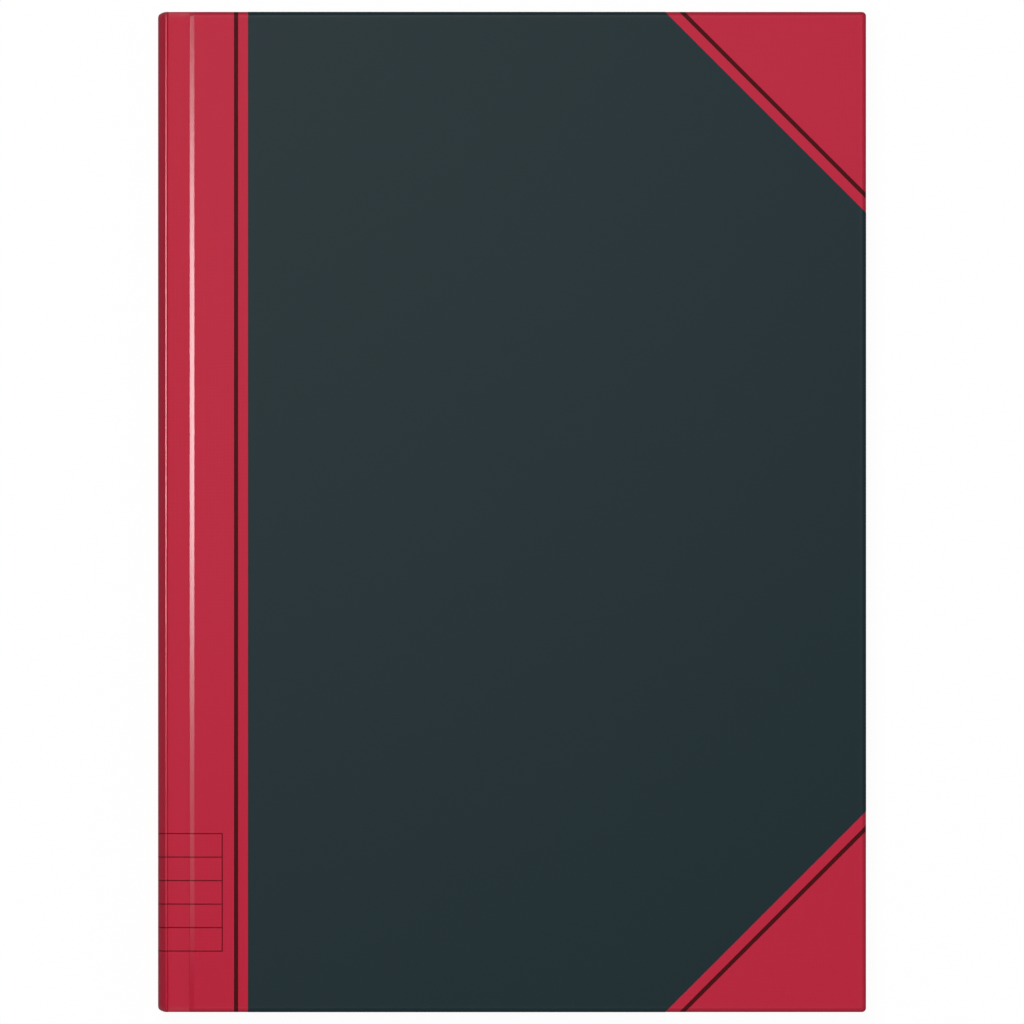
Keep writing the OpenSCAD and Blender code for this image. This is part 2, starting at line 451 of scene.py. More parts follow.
def covering(start_u, sink):
    """The covering of a board beyond start_u: outer face, rounded edges and turned-in strips."""
    edge = edge_profile(TURN_W - sink, (EDGE_REACH, EDGE_R), (INNER_EDGE_R, INNER_EDGE_R))
    profile = [(EDGE_REACH + FACE_MARGIN, 0.0)] + edge + [(TURN_IN, TURN_W - sink)]
    profile = [(d + sink, w + sink) for d, w in profile]
    path = outline(start_u)
    base = [inset(p, n, profile[0][0]) for p, n in path]
    bm = bmesh.new()
    layer = bm.loops.layers.uv.new("mm")
    plan = bm.loops.layers.uv.new("plan")
    rings, maps = [], []
    length = 0.0
    last = profile[0]
    for d, w in profile:
        length += math.hypot(d - last[0], w - last[1])
        last = (d, w)
        rings.append([bm.verts.new((*inset(p, n, d), w)) for p, n in path])
        maps.append([(b[0] + n[0] * length, b[1] + n[1] * length) for b, (_, n) in zip(base, path)])
    face = bm.faces.new(rings[0])
    for loop, uv in zip(face.loops, maps[0]):
        loop[layer].uv = uv
    for i in range(len(rings) - 1):
        for j in range(len(path) - 1):
            quad = [(i, j), (i + 1, j), (i + 1, j + 1), (i, j + 1)]
            face = bm.faces.new([rings[a][b] for a, b in quad])
            for loop, (a, b) in zip(face.loops, quad):
                loop[layer].uv = maps[a][b]
    for face in bm.faces:
        for loop in face.loops:
            loop[plan].uv = loop.vert.co.xy
    bmesh.ops.remove_doubles(bm, verts=bm.verts[:], dist=SAME_POINT)
    return bm


def cut(bm, side, keep_corner):
    """Cuts a covering along a corner's diagonal: side 1 is the head, -1 the tail."""
    bmesh.ops.bisect_plane(
        bm,
        geom=bm.verts[:] + bm.edges[:] + bm.faces[:],
        plane_co=Vector((BOOK_W - CORNER_LEG, side * HALF_H, 0)),
        plane_no=Vector((1, side, 0)).normalized(),
        clear_inner=keep_corner,
        clear_outer=not keep_corner,
    )
    return bm


# Material nodes
def connect(made, inputs):
    """Gives a node its inputs: plain values, or the outputs of other nodes."""
    for key, value in inputs.items():
        if isinstance(value, bpy.types.NodeSocket):
            made.id_data.links.new(value, made.inputs[key])
        else:
            made.inputs[key].default_value = value


def node_maker(tree):
    """What makes a node in a tree, with its inputs and settings."""

    def node(kind, inputs=None, **settings):
        made = tree.nodes.new(kind)
        for key, value in settings.items():
            setattr(made, key, value)
        connect(made, inputs or {})
        return made

    return node


def material(name):
    """(material, its shader, a maker of nodes)"""
    m = bpy.data.materials.new(name)
    m.use_nodes = True
    return m, m.node_tree.nodes["Principled BSDF"], node_maker(m.node_tree)


def flat_map(node):
    """The map in millimetres, then its two parts."""
    uv = node("ShaderNodeUVMap", uv_map="mm").outputs[0]
    s, v, _ = node("ShaderNodeSeparateXYZ", {0: uv}).outputs
    return uv, s, v


def object_place(node):
    return node("ShaderNodeTexCoord").outputs["Object"]


def calc(node, operation, a, b=0.0):
    return node("ShaderNodeMath", {0: a, 1: b}, operation=operation).outputs[0]


def weighted(node, *parts):
    """The sum of values, each times its weight."""
    shares = [calc(node, "MULTIPLY", value, weight) for value, weight in parts]
    total = shares[0]
    for share in shares[1:]:
        total = calc(node, "ADD", total, share)
    return total


def vector_calc(node, operation, inputs):
    return node("ShaderNodeVectorMath", inputs, operation=operation).outputs[0]


def stretched(node, vector, scale):
    return node("ShaderNodeMapping", {"Vector": vector, "Scale": scale}).outputs[0]


def mixed(node, factor, a, b, blend="MIX"):
    """A colour between a and b."""
    made = node("ShaderNodeMix", data_type="RGBA", blend_type=blend)
    connect(made, {0: factor, 6: a, 7: b})
    return made.outputs[2]


def noise(node, vector, scale, detail=3.0, rough=0.55):
    inputs = {"Vector": vector, "Scale": scale, "Detail": detail, "Roughness": rough}
    return node("ShaderNodeTexNoise", inputs).outputs["Fac"]


def remap(node, value, low, high):
    """A value from 0 to 1, brought between two limits."""
    return node("ShaderNodeMapRange", {0: value, 3: low, 4: high}).outputs[0]


def smooth_step(node, value, low, high, low_out=0.0, high_out=1.0):
    """Goes smoothly from one output to the other while a value goes from low to high."""
    inputs = {0: value, 1: low, 2: high, 3: low_out, 4: high_out}
    return node("ShaderNodeMapRange", inputs, interpolation_type="SMOOTHSTEP").outputs[0]


def span(node, value, low, high, soft=0.04):
    """1 where a value lies between two limits, with a soft edge."""
    up = smooth_step(node, value, low - soft, low + soft)
    down = smooth_step(node, value, high + soft, high - soft)
    return calc(node, "MULTIPLY", up, down)


def even_lines(node, v, first, pitch, width):
    """1 on level lines at an even pitch, one of which lies at first."""
    rise = calc(node, "FLOORED_MODULO", calc(node, "SUBTRACT", v, first - pitch / 2), pitch)
    from_line = calc(node, "ABSOLUTE", calc(node, "SUBTRACT", rise, pitch / 2))
    return span(node, from_line, -1.0, width / 2)


def bump(node, height, depth, strength):
    """A shader's inputs for a relief whose depth is in millimetres."""
    made = node("ShaderNodeBump", {"Height": height, "Distance": depth * MM, "Strength": strength})
    return {"Normal": made.outputs[0], "Coat Normal": made.outputs[0]}


WEAVE_OVER = 0.42


def weave(node, s, v, pitch):
    """Height of a plain weave: warp and weft pass over each other in turn."""
    a = calc(node, "SINE", calc(node, "MULTIPLY", s, math.pi / pitch))
    b = calc(node, "SINE", calc(node, "MULTIPLY", v, math.pi / pitch))
    over = calc(node, "MULTIPLY", calc(node, "MULTIPLY", a, b), WEAVE_OVER)
    warp = calc(node, "MULTIPLY", calc(node, "MULTIPLY", a, a), calc(node, "ADD", 1 - WEAVE_OVER, over))
    weft = calc(node, "MULTIPLY", calc(node, "MULTIPLY", b, b), calc(node, "SUBTRACT", 1 - WEAVE_OVER, over))
    return calc(node, "MAXIMUM", warp, weft)


# Colours
RED = (0.513, 0.0150, 0.0455, 1)
RED_DEEP = (0.435, 0.0100, 0.0350, 1)
INK = (0.034, 0.004, 0.004, 1)
LABEL_INK = (0.130, 0.003, 0.008, 1)
SLATE = (0.0054, 0.0188, 0.0238, 1)
SLATE_DEEP = (0.0043, 0.0158, 0.0200, 1)
BOARD_PALE = (0.46, 0.42, 0.36, 1)
BOARD_GREY = (0.30, 0.27, 0.225, 1)
BOARD_FLECK = (0.16, 0.13, 0.11, 1)
ENDPAPER_PALE = (0.84, 0.82, 0.75, 1)
PAGE_PALE = (0.84, 0.825, 0.765, 1)
PAPER_SHADE = (0.76, 0.735, 0.66, 1)
RULING_BLUE = (0.36, 0.44, 0.56, 1)
KRAFT = (0.40, 0.26, 0.14, 1)
KRAFT_SHADE = (0.30, 0.19, 0.10, 1)
GAUZE_PALE = (0.74, 0.70, 0.60, 1)
GAUZE_SHADE = (0.42, 0.38, 0.29, 1)
LINEN_PALE = (0.80, 0.79, 0.73, 1)
LINEN_SHADE = (0.62, 0.60, 0.53, 1)

# Pitch of the weaves, and how far the cloth's threads wander, in millimetres
CLOTH_PITCH = 0.42
GAUZE_PITCH = 0.9
THREAD_WANDER = 0.22
# How often slubs repeat across a thread and along it
SLUB_ACROSS = 2.2
SLUB_ALONG = 0.05
# Coat weight of the cloth, in the hollows of its weave and on its crests, and where ink covers it
CLOTH_SHINE = (0.09, 0.17)
BURNISHED_SHINE = (0.48, 0.64)
INK_SHINE = 0.3
# The burnish fades between these two heights, towards the tail
BURNISH_FULL_Y = -116.0
BURNISH_NONE_Y = -148.0
SIDING_SHINE = (0.10, 0.15)
# How much painted shade darkens the coverings along the board edges, and how much coat weight the edge band
# adds there
CLOTH_PAINTED_SHADE = 0.22
CLOTH_WORN_SHINE = 0.3
SIDING_PAINTED_SHADE = 0.12
SIDING_WORN_SHINE = 0.15
# Where that band of painted shade and added coat weight starts and ends across the edge, how softly, and how
# much its limits waver
SHADE_BAND_FROM = -0.9
SHADE_BAND_TO = 3.0
SHADE_BAND_SOFT = 1.5
SHADE_BAND_WAVER = 0.5

# Finish of each material
CLOTH_BASE = {"Specular IOR Level": 0.0, "Roughness": 0.6, "Sheen Roughness": 0.4}
PLAIN_CLOTH = {"Coat Roughness": 0.42, "Sheen Weight": 0.03}
BURNISHED_CLOTH = {"Coat Roughness": 0.22, "Sheen Weight": 0.0}
SIDING_FINISH = {"Specular IOR Level": 0.0, "Roughness": 0.6, "Coat Roughness": 0.40}
BOARD_FINISH = {"Specular IOR Level": 0.2, "Roughness": 0.9}
PAPER_FINISH = {"Specular IOR Level": 0.22, "Roughness": 0.86}
PAGE_FINISH = {"Specular IOR Level": 0.2, "Roughness": 0.88}
GAUZE_FINISH = {"Roughness": 0.9}
THREAD_FINISH = {"Roughness": 0.7}
FLOOR_FINISH = {"Specular IOR Level": 0.0, "Roughness": 0.9}


# Materials of the case
def edge_shade_and_polish(node, uv, s, v):
    """1 along the board edges, where painted shade darkens the covering and its coat weight rises, and 0 on
    its faces.
    """
    past_ends = calc(node, "SUBTRACT", calc(node, "ABSOLUTE", v), HALF_H)
    past_edge = calc(node, "MAXIMUM", past_ends, calc(node, "SUBTRACT", s, BOOK_W))
    uneven = remap(node, noise(node, uv, scale=0.3), -SHADE_BAND_WAVER, SHADE_BAND_WAVER)
    return span(node, calc(node, "ADD", past_edge, uneven), SHADE_BAND_FROM, SHADE_BAND_TO, soft=SHADE_BAND_SOFT)


def darkened_by_painted_shade(node, colour, rim_shade_and_polish, depth):
    """A colour darkened by painted shade."""
    left = remap(node, rim_shade_and_polish, 1.0, 1.0 - depth)
    grey = node("ShaderNodeCombineColor", {0: left, 1: left, 2: left}).outputs[0]
    return mixed(node, 1.0, colour, grey, "MULTIPLY")


def polished(node, shine, rim_shade_and_polish, gain):
    """A coat weight raised along the edge band."""
    return calc(node, "ADD", shine, calc(node, "MULTIPLY", rim_shade_and_polish, gain))


def thread_height(node, uv):
    """Height of the cloth's weave, whose threads wander a little."""
    wobble = node("ShaderNodeTexNoise", {"Vector": uv, "Scale": 0.8, "Detail": 2.0}).outputs["Color"]
    centred = vector_calc(node, "SUBTRACT", {0: wobble, 1: (0.5, 0.5, 0.5)})
    shift = vector_calc(node, "SCALE", {0: centred, "Scale": THREAD_WANDER})
    s, v, _ = node("ShaderNodeSeparateXYZ", {0: vector_calc(node, "ADD", {0: uv, 1: shift})}).outputs
    return weave(node, s, v, CLOTH_PITCH)


def slub_noise(node, uv):
    """Threads that are a little thicker or paler, drawn out along warp and weft."""
    warp = stretched(node, uv, (SLUB_ACROSS, SLUB_ALONG, 1))
    weft = stretched(node, uv, (SLUB_ALONG, SLUB_ACROSS, 1))
    return calc(node, "ADD", noise(node, warp, scale=1.0), noise(node, weft, scale=1.0))


def red_cloth(name, prints=(), burnished=False):
    """Fine book cloth. Each print is an ink and what makes its mask from s and v."""
    m, shader, node = material(name)
    uv, s, v = flat_map(node)
    height = thread_height(node, uv)
    slubs = slub_noise(node, uv)
    cloudy = noise(node, uv, scale=0.035, detail=4.0)
    # The weave's height darkens the hollows between threads as painted shade, mixed with the cloth's own
    # slub and cloudy tone
    tone = weighted(node, (slubs, 0.30), (height, 0.45), (cloudy, 0.25))
    rim_shade_and_polish = edge_shade_and_polish(node, uv, s, v)
    colour = mixed(node, remap(node, tone, 0.1, 1.0), RED_DEEP, RED)
    # Painted shade: the cloth's colour darkens towards the board edges
    colour = darkened_by_painted_shade(node, colour, rim_shade_and_polish, CLOTH_PAINTED_SHADE)
    shine = polished(node, remap(node, height, *CLOTH_SHINE), rim_shade_and_polish, CLOTH_WORN_SHINE)
    if burnished:
        pressed = remap(node, height, *BURNISHED_SHINE)
        shine = smooth_step(node, v, BURNISH_NONE_Y, BURNISH_FULL_Y, shine, pressed)
        relief = bump(node, height, depth=0.05, strength=0.08)
    else:
        uneven = weighted(node, (height, 1.0), (slubs, 0.25))
        relief = bump(node, uneven, depth=0.05, strength=0.35)
    for ink_colour, printed in prints:
        cover = remap(node, noise(node, uv, scale=1.7), 0.88, 1.0)
        ink = calc(node, "MULTIPLY", printed(node, s, v), cover)
        colour = mixed(node, ink, colour, ink_colour)
        shine = calc(node, "MULTIPLY", shine, remap(node, ink, 1.0, INK_SHINE))
    finish = BURNISHED_CLOTH if burnished else PLAIN_CLOTH
    connect(shader, {"Base Color": colour, "Coat Weight": shine, **CLOTH_BASE, **finish, **relief})
    return m


def edge_rule(node, s, v):
    """The black rule along the cloth's edge."""
    return span(node, s, RULE_U0, RULE_U1)


def label_print(end_s, inside):
    """The ruled label: level lines closed at end_s. inside is the comparison that holds where they lie."""

    def printed(node, s, v):
        lines = even_lines(node, v, LABEL_FOOT_Y, LABEL_PITCH, LABEL_LINE)
        level = calc(node, "MULTIPLY", lines, calc(node, inside, s, end_s))
        upright = span(node, s, end_s - LABEL_LINE / 2, end_s + LABEL_LINE / 2)
        reach = span(node, v, LABEL_FOOT_Y - LABEL_LINE / 2, LABEL_TOP_Y + LABEL_LINE / 2)
        return calc(node, "MULTIPLY", calc(node, "MAXIMUM", level, upright), reach)

    return printed


def corner_print(node, s, v):
    """A black rule beside the diagonal edge of a corner, straight as seen from above."""
    plan = node("ShaderNodeUVMap", uv_map="plan").outputs[0]
    u, y, _ = node("ShaderNodeSeparateXYZ", {0: plan}).outputs
    from_edge = calc(node, "SUBTRACT", BOOK_W, u)
    from_end = calc(node, "SUBTRACT", HALF_H, calc(node, "ABSOLUTE", y))
    return span(node, calc(node, "ADD", from_edge, from_end), *CORNER_RULE_LEGS, soft=0.06)


def siding_paper():
    """Smooth, dark covering paper with a fine pressed grain."""
    m, shader, node = material("siding_paper")
    uv, s, v = flat_map(node)
    grain = noise(node, uv, scale=2.4, detail=5.0, rough=0.6)
    cloudy = noise(node, uv, scale=0.02)
    fibre = noise(node, stretched(node, uv, (0.25, 1.3, 1)), scale=1.0, detail=4.0)
    tone = weighted(node, (grain, 0.4), (cloudy, 0.35), (fibre, 0.25))
    rim_shade_and_polish = edge_shade_and_polish(node, uv, s, v)
    # Painted shade: the paper's colour darkens towards the board edges
    colour = darkened_by_painted_shade(node, mixed(node, tone, SLATE_DEEP, SLATE), rim_shade_and_polish, SIDING_PAINTED_SHADE)
    shine = polished(node, remap(node, grain, *SIDING_SHINE), rim_shade_and_polish, SIDING_WORN_SHINE)
    relief = bump(node, weighted(node, (grain, 1.0), (fibre, 0.5)), depth=0.03, strength=0.3)
    connect(shader, {"Base Color": colour, "Coat Weight": shine, **SIDING_FINISH, **relief})
    return m


def grey_board():
    """Grey board: pressed waste-paper fibres, with darker flecks."""
    m, shader, node = material("grey_board")
    at = object_place(node)
    fibre = noise(node, at, scale=2600, detail=5.0, rough=0.65)
    specks = noise(node, at, scale=900, detail=2.0)
    fleck = node("ShaderNodeMapRange", {0: specks, 1: 0.66, 2: 0.74}).outputs[0]
    colour = mixed(node, fleck, mixed(node, fibre, BOARD_GREY, BOARD_PALE), BOARD_FLECK)
    relief = bump(node, fibre, depth=0.06, strength=0.5)
    connect(shader, {"Base Color": colour, **BOARD_FINISH, **relief})
    return m


# Materials of the book block
CLOUD_SHARE = 0.6
TOOTH_SHARE = 0.4
RULING_PITCH = 8.0
RULING_LINE = 0.22
RULING_TOP = 26.0
RULING_FOOT = 14.0
RULING_STRENGTH = 0.55


def paper(name, base, shade, depth):
    """Uncoated paper with a soft, cloudy look-through and a fine tooth."""
    m, shader, node = material(name)
    at = object_place(node)
    cloudy = noise(node, at, scale=260, detail=4.0, rough=0.6)
    tooth = noise(node, at, scale=5200, rough=0.6)
    colour = mixed(node, weighted(node, (cloudy, CLOUD_SHARE), (tooth, TOOTH_SHARE)), shade, base)
    relief = bump(node, tooth, depth, strength=0.35)
    connect(shader, {"Base Color": colour, **PAPER_FINISH, **relief})
    return m


def page_paper():
    """Writing paper with a pale ruling on the faces of its leaves."""
    m, shader, node = material("writing_paper")
    uv, _, v = flat_map(node)
    lines = even_lines(node, v, RULING_PITCH / 2, RULING_PITCH, RULING_LINE)
    reach = span(node, v, RULING_FOOT - HALF_PAGE, HALF_PAGE - RULING_TOP)
    cloudy = noise(node, uv, scale=0.25, detail=4.0, rough=0.6)
    tooth = noise(node, uv, scale=5.0, rough=0.6)
    tone = weighted(node, (cloudy, CLOUD_SHARE), (tooth, TOOTH_SHARE))
    ink = calc(node, "MULTIPLY", calc(node, "MULTIPLY", lines, reach), RULING_STRENGTH)
    colour = mixed(node, ink, mixed(node, tone, PAPER_SHADE, PAGE_PALE), RULING_BLUE)
    relief = bump(node, tooth, depth=0.012, strength=0.3)
    connect(shader, {"Base Color": colour, **PAGE_FINISH, **relief})
    return m


def gauze():
    """Open, starched gauze."""
    m, shader, node = material("gauze")
    in_mm = vector_calc(node, "SCALE", {0: object_place(node), "Scale": 1 / MM})
    x, y, z = node("ShaderNodeSeparateXYZ", {0: in_mm}).outputs
    height = weave(node, y, calc(node, "ADD", x, z), GAUZE_PITCH)
    colour = mixed(node, height, GAUZE_SHADE, GAUZE_PALE)
    relief = bump(node, height, depth=0.08, strength=0.6)
    connect(shader, {"Base Color": colour, **GAUZE_FINISH, **relief})
    return m


def linen_thread():
    """Waxed linen thread, twisted from strands."""
    m, shader, node = material("linen_thread")
    inputs = {"Vector": object_place(node), "Scale": 2200, "Distortion": 1.0}
    twist = node("ShaderNodeTexWave", inputs, bands_direction="DIAGONAL").outputs["Fac"]
    colour = mixed(node, twist, LINEN_SHADE, LINEN_PALE)
    relief = bump(node, twist, depth=0.02, strength=0.5)
    connect(shader, {"Base Color": colour, **THREAD_FINISH, **relief})
    return m


# The cloth's lines and flat sizes
section_points = cloth_section()
section_s = lengths_along(section_points, CLOTH_REACH)
pressed_rows = [int(is_pressed((a + b) / 2)) for a, b in zip(section_points, section_points[1:])]
arc_points = arc_line(SEAM_ANGLE, -SEAM_ANGLE, SPINE_R, ARC_STEPS)
arc_s = lengths_along(arc_points, section_s[-1])

# The materials, made once
black_rule = (INK, edge_rule)
front_label = (LABEL_INK, label_print(LABEL_END_U, "LESS_THAN"))
spine_label = (LABEL_INK, label_print(arc_s[-1] + LABEL_LINE, "GREATER_THAN"))
cover_cloths = {
    "front": [
        red_cloth("red_cloth_front", [black_rule, front_label]),
        red_cloth("red_cloth_front_burnished", [front_label], True),
    ],
    "back": [red_cloth("red_cloth_back", [black_rule]), red_cloth("red_cloth_back_burnished", [], True)],
}
spine_look = red_cloth("red_cloth_spine", [spine_label])
corner_look = red_cloth("red_cloth_corner", [(INK, corner_print)])
siding_look = siding_paper()
card_look = grey_board()
endpaper_look = paper("endpaper", ENDPAPER_PALE, PAPER_SHADE, depth=0.015)
kraft_look = paper("kraft", KRAFT, KRAFT_SHADE, depth=0.03)
page_look = page_paper()
gauze_look = gauze()
thread_look = linen_thread()

# The case
COVERS = (("front", front, "front_cover"), ("back", back, "back_cover"))
# Two lines across the groove; points on them are worked out for each cover's cloth but not used
HINGE_SPINE_U = 3.0
HINGE_COVER_U = 4.4
# How the board stays inside its covering at the slope
BOARD_TOP_IN = 0.2
BOARD_FOOT_IN = 0.2
BOARD_SLOPE_IN = (0.25, 0.3)
# The board's corners: the heights of its fore-edge, and its roundings
FORE_INNER_RISE = 0.6
FORE_OUTER_RISE = 0.9
FORE_R = 0.7
BOARD_R = 0.5
RIM_R = 0.3


def fit(piece, slot, *stands_for):
    """Hides the nodes that a piece stands for. The slot is not used."""
    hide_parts(*stands_for)


def make_cover_cloth(side, place):
    """The red cloth of one cover, from its edge on the board to the seam on the spine."""
    bm = rolled(section_points, section_s, pressed_rows)
    cloth = thicken(to_object(f"{side}_red_cloth", bm, place, cover_cloths[side]))
    at_spine = metres(place(HINGE_SPINE_U, 0, GROOVE_W))
    at_cover = metres(place(HINGE_COVER_U, 0, GROOVE_W))
    if side == "front":
        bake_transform(cloth)
    else:
        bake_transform(cloth)
    fit(cloth, "red_cloth", f"{side}_spine_cloth", f"{side}_joint_cloth")


def make_siding(side, place, body):
    """The dark paper of one cover, between the cloth and the two corners."""
    bm = covering(CLOTH_REACH, 0.0)
    for end in (1, -1):
        cut(bm, end, False)
    siding = thicken(to_object(f"{side}_siding_paper", bm, place, [siding_look]))
    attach(siding, body)
    fit(siding, "black_siding", f"{side}_siding")


def make_corner(side, place, body, end_name, end):
    """The cloth on one fore-edge corner of a cover."""
    bm = cut(covering(BOOK_W - 2 * CORNER_LEG, CLOTH_SINK), end, True)
    area = sum(f.calc_area() for f in bm.faces) * MM * MM
    corner = thicken(to_object(f"{side}_{end_name}_corner_cloth", bm, place, [corner_look]))
    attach(corner, body)
    fit(corner, "red_cloth", f"{side}_corner_{end_name}")


def board_solid():
    """A board with its edges pressed round, just inside its covering."""
    low, high = CLOTH_T, board_high.z
    slope_in, slope_down = BOARD_SLOPE_IN
    corners = [
        (BOOK_W - 3 * CLOTH_T, high, 0),
        (BOOK_W - 2 * CLOTH_T, high - FORE_INNER_RISE, BOARD_R),
        (BOOK_W - 2 * CLOTH_T, low + FORE_OUTER_RISE, FORE_R),
        (BOOK_W - 4 * CLOTH_T, low, FORE_R),
        (SLOPE_TOP_U + BOARD_TOP_IN, low, BOARD_R),
        (SLOPE_FOOT_U + slope_in, SLOPE_DROP + slope_down, BOARD_R),
        (SLOPE_FOOT_U + BOARD_FOOT_IN, high, 0),
    ]
    bm, tail, head = drawn_out(rounded_line(corners), HALF_H - 3 * CLOTH_T)
    bm.faces.new(tail[::-1])
    bm.faces.new(head)
    bmesh.ops.recalc_face_normals(bm, faces=bm.faces[:])
    rims = [e for e in bm.edges if abs(e.verts[0].co.y - e.verts[1].co.y) < SAME_POINT]
    bmesh.ops.bevel(bm, geom=rims, offset=RIM_R, segments=3, affect="EDGES", clamp_overlap=True)
    return bm


def make_board(side, place, body):
    """The card inside one cover."""
    board = baked_down(to_object(f"{side}_board_card", board_solid(), place, [card_look]))
    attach(board, body)
    fit(board, "board", f"{side}_board")


for side, place, body in COVERS:
    make_cover_cloth(side, place)
    make_siding(side, place, body)
    for end_name, end in (("head", 1), ("tail", -1)):
        make_corner(side, place, body, end_name, end)
    make_board(side, place, body)

# The spine: its cloth and the card strip inside it
STRIP_SHORT = 2.4
STRIP_OUTER_ANGLE = 35.0
STRIP_INNER_ANGLE = 32.5
STRIP_STEPS = 32


def make_spine_cloth():
    """The red cloth round the spine, between its two seams."""
    bm = rolled(arc_points, arc_s, [0] * ARC_STEPS)
    cloth = thicken(to_object("spine_red_cloth", bm, front, [spine_look]))
    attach(cloth, "spine")
    fit(cloth, "red_cloth", "spine_cloth")


def strip_solid():
    """The curved card strip, a little short of the cloth's rolled ends."""
    outer_r = SPINE_R - CLOTH_T
    outer = arc_line(STRIP_OUTER_ANGLE, -STRIP_OUTER_ANGLE, outer_r, STRIP_STEPS)
    inner = arc_line(STRIP_INNER_ANGLE, -STRIP_INNER_ANGLE, outer_r - STRIP_T, STRIP_STEPS)
    bm, tail, head = drawn_out(outer + inner[::-1], HALF_H - STRIP_SHORT)
    last = len(tail) - 1
    for ring in (tail, head):
        for i in range(STRIP_STEPS):
            bm.faces.new([ring[i], ring[i + 1], ring[last - 1 - i], ring[last - i]])
    bmesh.ops.recalc_face_normals(bm, faces=bm.faces[:])
    return bm


def make_strip():
    """The card strip in the hollow spine."""
    strip = baked_down(to_object("spine_strip_card", strip_solid(), front, [card_look]))
    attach(strip, "spine")
    fit(strip, "board", "spine_strip")


make_spine_cloth()
make_strip()

# The book block: folded sheets, sewn in sections
SECTIONS = 12
SHEETS = 4
PAPER_T = 0.075
FOLD_GAP = 0.005
LEAF_PITCH = 0.095
FOLD_LEN = 1.0
FOLD_SPREAD = 1.5
TRIM_JITTER = 0.025
# The cut edges of the paper are mapped this far off the ruling
OFF_RULING = 10 * HALF_PAGE
# The linings of these sections lie folded on each other when the book is open; each gets a mesh of its own
PRESSED_LININGS = range(4, 10)
LINING_GAP = 0.02
draw = random.Random(7)


def sheet_line(nose_u, tight, loose, fore_u, steps=8):
    """Outline of a folded sheet: from the upper fore-edge round the fold to the lower one."""
    line = [(fore_u, loose), (nose_u + FOLD_LEN + FOLD_SPREAD, loose), (nose_u + FOLD_LEN, tight)]
    for i in range(steps + 1):
        a = math.pi / 2 + math.pi * i / steps
        line.append((nose_u + tight * math.cos(a), tight * math.sin(a)))
    line += [(nose_u + FOLD_LEN, -tight), (nose_u + FOLD_LEN + FOLD_SPREAD, -loose), (fore_u, -loose)]
    return line


def add_page_face(bm, layer, verts, ruled):
    """A face of a sheet: only the two sides of the paper carry the ruling."""
    face = bm.faces.new(verts)
    for loop in face.loops:
        co = loop.vert.co
        loop[layer].uv = (co.x, co.y) if ruled else (co.x, co.y + OFF_RULING)


def add_sheet(bm, layer, outer, inner, half, mid_z):
    """One folded sheet: a closed strip of paper between its outer and its inner line."""
    rings = []
    for line in (outer, inner):
        for y in (-half, half):
            rings.append([bm.verts.new((u, y, mid_z + z)) for u, z in line])
    outer_tail, outer_head, inner_tail, inner_head = rings
    last = len(outer) - 1
    for i in range(last):
        j = i + 1
        add_page_face(bm, layer, [outer_tail[i], outer_head[i], outer_head[j], outer_tail[j]], True)
        add_page_face(bm, layer, [inner_tail[i], inner_tail[j], inner_head[j], inner_head[i]], True)
        add_page_face(bm, layer, [outer_tail[i], outer_tail[j], inner_tail[j], inner_tail[i]], False)
        add_page_face(bm, layer, [outer_head[i], inner_head[i], inner_head[j], outer_head[j]], False)
    for i in (0, last):
        quad = [outer_tail[i], inner_tail[i], inner_head[i], outer_head[i]]
        add_page_face(bm, layer, quad if i == 0 else quad[::-1], False)


def section_mesh(low, high):
    """One section: folded sheets nested in each other, each trimmed a little unevenly."""
    mid_z = (low.z + high.z) / 2
    half_t = (high.z - low.z) / 2
    nose_u = FOLD_U + half_t
    bm = bmesh.new()
    layer = bm.loops.layers.uv.new("mm")
    for k in range(SHEETS):
        tight = half_t - k * (PAPER_T + FOLD_GAP)
        loose = half_t - (LEAF_PITCH - PAPER_T) / 2 - k * LEAF_PITCH
        fore_u = FORE_U - draw.uniform(0, TRIM_JITTER)
        half = HALF_PAGE - draw.uniform(0, TRIM_JITTER)
        outer = sheet_line(nose_u, tight, loose, fore_u)
        inner = sheet_line(nose_u, tight - PAPER_T, loose - PAPER_T, fore_u)
        add_sheet(bm, layer, outer, inner, half, mid_z)
    bmesh.ops.recalc_face_normals(bm, faces=bm.faces[:])
    return bm


def make_leaves(i, name, low, high):
    """The leaves of one section."""
    leaves = baked_down(to_object(f"leaves_{i:02d}", section_mesh(low, high), back, [page_look]))
    # The last section's leaves stay above the flyleaf that turns below them
    if i == 1:
        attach(leaves, name)
    else:
        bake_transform(leaves)
    fit(leaves, "page", name)


def lining_strip(z0, z1):
    """The piece of liner and mull that is glued to one section's fold."""
    bm = bmesh.new()
    layers = (
        (along_u(liner_low.x), along_u(liner_high.x), liner_high.y),
        (along_u(mull_low.x), FOLD_U, mull_high.y),
    )
    for slot, (u0, u1, half) in enumerate(layers):
        middle = Vector(((u0 + u1) / 2, 0, (z0 + z1) / 2))
        size = Vector((u1 - u0, 2 * half, z1 - z0))
        made = bmesh.ops.create_cube(bm, size=1)["verts"]
        for v in made:
            v.co = middle + v.co * size
        for face in {f for v in made for f in v.link_faces}:
            face.material_index = slot
    return bm


def make_lining(i, name, low, high):
    """The lining behind one section, which parts from the next one when the book opens."""
    bm = lining_strip(low.z + LINING_GAP, high.z - LINING_GAP)
    lining = baked_down(to_object(f"back_lining_{i:02d}", bm, back, [kraft_look, gauze_look]))
    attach(lining, name)
    if i in PRESSED_LININGS:
        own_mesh(lining)
    fit(lining, "kraft", "mull", "spine_liner")


def give_material(name, look):
    """Gives a node's own solid a material."""
    nodes[name].data.materials.clear()
    nodes[name].data.materials.append(look)


